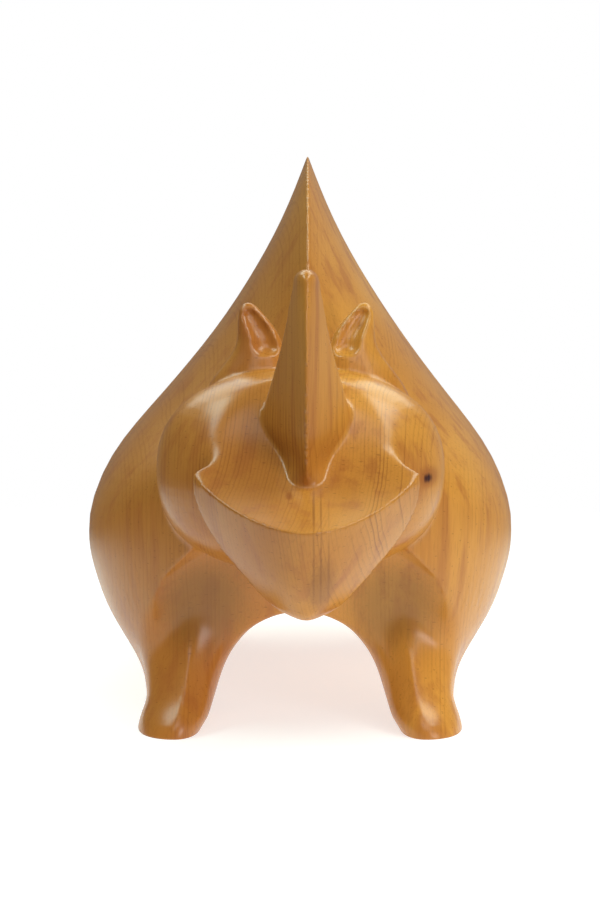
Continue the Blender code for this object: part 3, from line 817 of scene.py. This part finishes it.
def makeWood():
    material = bpy.data.materials.new(wood["name"])
    material.use_nodes = True
    tree = material.node_tree
    place = addNode(tree, "TexCoord").outputs["Object"]
    mm = addNode(tree, "VectorMath", {0: place, 3: 1 / share}, operation="SCALE")
    axes = addNode(tree, "SeparateXYZ", {0: mm}).outputs
    sources = {"along": axes["Y"]}
    for name, (size, detail, rough, seed) in wood["clouds"].items():
        spot = addNode(tree, "VectorMath", {0: mm, 1: [1 / part for part in size]}, operation="MULTIPLY")
        spot = addNode(tree, "VectorMath", {0: spot, 1: (seed, seed, seed)}, operation="ADD")
        inputs = {"Vector": spot, "Scale": 1.0, "Detail": detail, "Roughness": rough}
        sources[name] = addNode(tree, "TexNoise", inputs)

    # years: distance from the tree's middle, wandering a little, counted in ring widths
    pithX, pithY = wood["pith"]
    years = addNode(tree, "VectorMath", {0: mm, 1: (-pithX, -pithY, 0)}, operation="ADD")
    years = addNode(tree, "VectorMath", {0: years, 1: (1, 1, 0)}, operation="MULTIPLY")
    years = addNode(tree, "VectorMath", {0: years}, operation="LENGTH")
    for name, reach in (("wander", wood["warp"]), ("ripple", wood["ripple"])):
        shift = addNode(tree, "Math", {0: sources[name], 1: 2 * reach}, operation="MULTIPLY")
        years = addNode(tree, "Math", {0: years, 1: shift}, operation="ADD")
    years = addNode(tree, "Math", {0: years, 1: wood["ringWidth"]}, operation="DIVIDE")
    year = addNode(tree, "Math", {0: years}, operation="FLOOR")
    sources["season"] = addNode(tree, "Math", {0: years}, operation="FRACT")
    sources["year"] = addNode(tree, "TexWhiteNoise", {"W": year}, noise_dimensions="1D")
    spell = addNode(tree, "Math", {0: year, 1: wood["spells"]}, operation="MULTIPLY")
    inputs = {"W": spell, "Scale": 1.0, "Detail": 1.0}
    sources["spell"] = addNode(tree, "TexNoise", inputs, noise_dimensions="1D")

    # heartwood to the left, with a streaky edge
    waver = addNode(tree, "Math", {0: sources["streak"], 1: wood["heartWaver"]}, operation="MULTIPLY")
    sources["heartward"] = addNode(tree, "Math", {0: axes["X"], 1: waver}, operation="ADD")

    # ray flecks: short dark ticks across the rings, in some cells of a fine grid
    cells = [1 / part for part in wood["fleckSize"]]
    cells = addNode(tree, "VectorMath", {0: mm, 1: cells}, operation="MULTIPLY")
    tick = addNode(tree, "TexVoronoi", {"Vector": cells, "Scale": 0.5, "Randomness": 1.0})
    sources["tick"] = tick.outputs["Distance"]
    sources["choice"] = addNode(tree, "SeparateColor", {0: tick.outputs["Color"]})

    tones = {}
    for name, (source, start, full, least, most) in wood["tones"].items():
        inputs = {"Value": sources[source], "From Min": start, "From Max": full}
        inputs |= {"To Min": least, "To Max": most}
        tones[name] = addNode(tree, "MapRange", inputs, interpolation_type="SMOOTHSTEP")
    line = 1.0
    for name in wood["lineTones"]:
        line = addNode(tree, "Math", {0: line, 1: tones[name]}, operation="MULTIPLY")
    tones["line"] = line
    ticks = {0: tones["tickSize"], 1: tones["tickChoice"]}
    tones["flecks"] = addNode(tree, "Math", ticks, operation="MULTIPLY")

    colour = linear(wood["honey"])
    for name, strength, over in wood["layers"]:
        cover = addNode(tree, "Math", {0: tones[name], 1: strength}, operation="MULTIPLY")
        inputs = {"Factor": cover, 6: colour, 7: linear(wood[over])}
        colour = addNode(tree, "Mix", inputs, data_type="RGBA")
    ragged = {0: sources["fibre"], 1: wood["markRagged"]}
    ragged = addNode(tree, "Math", ragged, operation="MULTIPLY")
    start, full = wood["markEdge"]
    # the marks include painted shade: the two olive patches in the chest scoops under the head
    for middle, size, over, strength in wood["marksAndShade"]:
        away = addNode(tree, "VectorMath", {0: mm, 1: middle}, operation="SUBTRACT")
        away = addNode(tree, "VectorMath", {0: away, 1: size}, operation="DIVIDE")
        away = addNode(tree, "VectorMath", {0: away}, operation="LENGTH")
        away = addNode(tree, "Math", {0: away, 1: ragged}, operation="ADD")
        inputs = {"Value": away, "From Min": start, "From Max": full, "To Max": strength}
        cover = addNode(tree, "MapRange", inputs, interpolation_type="SMOOTHSTEP")
        colour = addNode(tree, "Mix", {"Factor": cover, 6: colour, 7: linear(over)}, data_type="RGBA")

    spread = {0: tones["worn"], 1: wood["roughnessSpread"]}
    worn = addNode(tree, "Math", spread, operation="MULTIPLY")
    worn = addNode(tree, "Math", {0: worn, 1: wood["roughness"]}, operation="ADD")
    lower = addNode(tree, "Math", {0: line, 1: wood["lineRelief"]}, operation="MULTIPLY")
    fine = {0: sources["fibre"], 1: wood["fibreRelief"]}
    fine = addNode(tree, "Math", fine, operation="MULTIPLY")
    relief = addNode(tree, "Math", {0: lower, 1: fine}, operation="ADD")
    inputs = {"Height": relief, "Strength": wood["relief"], "Distance": wood["reliefDepth"]}
    finish = {
        "Base Color": colour,
        "Roughness": worn,
        "Specular IOR Level": wood["underSheen"],
        "Coat Weight": wood["varnish"],
        "Coat Roughness": wood["varnishRoughness"],
        "Coat IOR": wood["varnishIor"],
        "Normal": addNode(tree, "Bump", inputs),
    }
    feed(tree, tree.nodes["Principled BSDF"], finish)
    return material


# Studio: white paper and backdrop, a wide soft box high behind, a long one over each flank, and small
# panels in front
studio = {
    "paper": "#C4C4C2",
    "paperRoughness": 0.9,
    "paperSheen": 0.1,
    "glow": 0.66,  # keeps the paper as white as the backdrop
    "floorSize": 0.96,
    "fadeFrom": 0.14,  # the paper fades out from here to there, so that the varnish mirrors no hard edge
    "fadeTo": 0.47,
    "left": 0.12,  # brightness of the room on each side and overhead
    "right": 0.34,
    "overhead": 0.1,
    "sideways": 0.7,  # how far sideways, and from where to where upwards, the room changes
    "upFrom": 0.12,
    "upTo": 0.5,
    "lights": (
        # place, width, depth, radiance, colour
        ((0.0, 0.98, 1.08), 1.9, 0.75, 2.9, "#EEFFF4"),
        ((0.78, 0.0, 1.35), 1.2, 0.5, 6.0, "#F6FFF4"),
        ((-0.78, 0.0, 1.35), 1.2, 0.42, 6.4, "#E6FFF4"),
        ((0.95, -1.3, 0.55), 0.5, 0.8, 1.6, "#FFFFFF"),
        ((0.66, -0.8, 0.16), 0.3, 0.3, 5.5, "#FFF4F0"),
        ((0.25, -1.1, 1.25), 1.4, 0.7, 2.3, "#FFFFFF"),
    ),
    "aim": (0, 0, 0.09),
}


def makeFloor():
    mesh = bpy.data.meshes.new("floor")
    half = studio["floorSize"] / 2
    corners = [(-half, -half, 0), (half, -half, 0), (half, half, 0), (-half, half, 0)]
    mesh.from_pydata(corners, [], [(0, 1, 2, 3)])
    floor = bpy.data.objects.new("floor", mesh)
    bpy.context.scene.collection.objects.link(floor)
    paper = bpy.data.materials.new("white paper, matte")
    paper.use_nodes = True
    tree = paper.node_tree
    shader = tree.nodes["Principled BSDF"]
    finish = {
        "Base Color": linear(studio["paper"]),
        "Roughness": studio["paperRoughness"],
        "Specular IOR Level": studio["paperSheen"],
        "Emission Color": (1, 1, 1, 1),
        "Emission Strength": studio["glow"],
    }
    feed(tree, shader, finish)
    spot = addNode(tree, "TexCoord").outputs["Object"]
    away = addNode(tree, "VectorMath", {0: spot}, operation="LENGTH")
    inputs = {"Value": away, "From Min": studio["fadeFrom"], "From Max": studio["fadeTo"]}
    gone = addNode(tree, "MapRange", inputs, interpolation_type="SMOOTHSTEP")
    clear = addNode(tree, "BsdfTransparent")
    both = addNode(tree, "MixShader", {0: gone, 1: shader, 2: clear})
    feed(tree, tree.nodes["Material Output"], {"Surface": both})
    mesh.materials.append(paper)


def makeLights():
    for place, wide, tall, radiance, colour in studio["lights"]:
        data = bpy.data.lights.new("softbox", "AREA")
        data.shape = "RECTANGLE"
        data.size, data.size_y = wide, tall
        data.energy = radiance * math.pi * wide * tall
        data.color = linear(colour)[:3]
        light = bpy.data.objects.new("softbox", data)
        light.location = place
        light.rotation_euler = (Vector(studio["aim"]) - Vector(place)).to_track_quat("-Z", "Y").to_euler()
        light.visible_camera = False
        bpy.context.scene.collection.objects.link(light)


def makeRoom():
    world = bpy.data.worlds.new("white room")
    world.use_nodes = True
    tree = world.node_tree
    way = addNode(tree, "TexCoord").outputs["Generated"]
    way = addNode(tree, "SeparateXYZ", {0: way}).outputs
    inputs = {"Value": way["X"], "From Min": -studio["sideways"], "From Max": studio["sideways"]}
    inputs |= {"To Min": studio["left"], "To Max": studio["right"]}
    around = addNode(tree, "MapRange", inputs, interpolation_type="SMOOTHSTEP")
    inputs = {"Value": way["Z"], "From Min": studio["upFrom"], "From Max": studio["upTo"]}
    inputs |= {"To Min": around, "To Max": studio["overhead"]}
    room = addNode(tree, "MapRange", inputs, interpolation_type="SMOOTHSTEP")
    # seen directly the backdrop is plain white, as in a cut-out product photograph
    seen = addNode(tree, "LightPath").outputs["Is Camera Ray"]
    bright = addNode(tree, "Mix", {0: seen, 2: room, 3: 1.0}, data_type="FLOAT")
    feed(tree, tree.nodes["Background"], {"Strength": bright, "Color": (1, 1, 1, 1)})
    bpy.context.scene.world = world


# Camera: a long lens a little above the animal's back, looking slightly down
camera = {
    "distance": 1.2,
    "elevation": 8.0,
    "focalPixels": 3207,
    "frameHeight": 900,
    "sensor": 36,
    "farthest": 20,
    "aim": (middleX, middleY, 91.45),
    "sidePixels": -3,
}


def makeCamera():
    data = bpy.data.cameras.new("camera")
    data.sensor_width = camera["sensor"]
    data.lens = camera["focalPixels"] / camera["frameHeight"] * data.sensor_width
    data.shift_x = camera["sidePixels"] / camera["frameHeight"]
    data.clip_end = camera["farthest"]
    view = bpy.data.objects.new("camera", data)
    tilt = math.radians(camera["elevation"])
    back = Vector((0, -math.cos(tilt), math.sin(tilt)))
    view.location = Vector(camera["aim"]) * share + back * camera["distance"]
    view.rotation_euler = (-back).to_track_quat("-Z", "Y").to_euler()
    bpy.context.scene.collection.objects.link(view)
    bpy.context.scene.camera = view


bpy.context.scene.view_settings.view_transform = "Standard"
makeCamera()
print("camera ready")
makeFloor()
makeLights()
makeRoom()
print("studio ready")
figure = carve()
figure.name = "woodRhinoceros"
figure.data.materials.clear()
figure.data.materials.append(makeWood())
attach(figure, "root")
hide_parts("rhinoceros")
print("figurine ready:", len(figure.data.polygons), "faces")
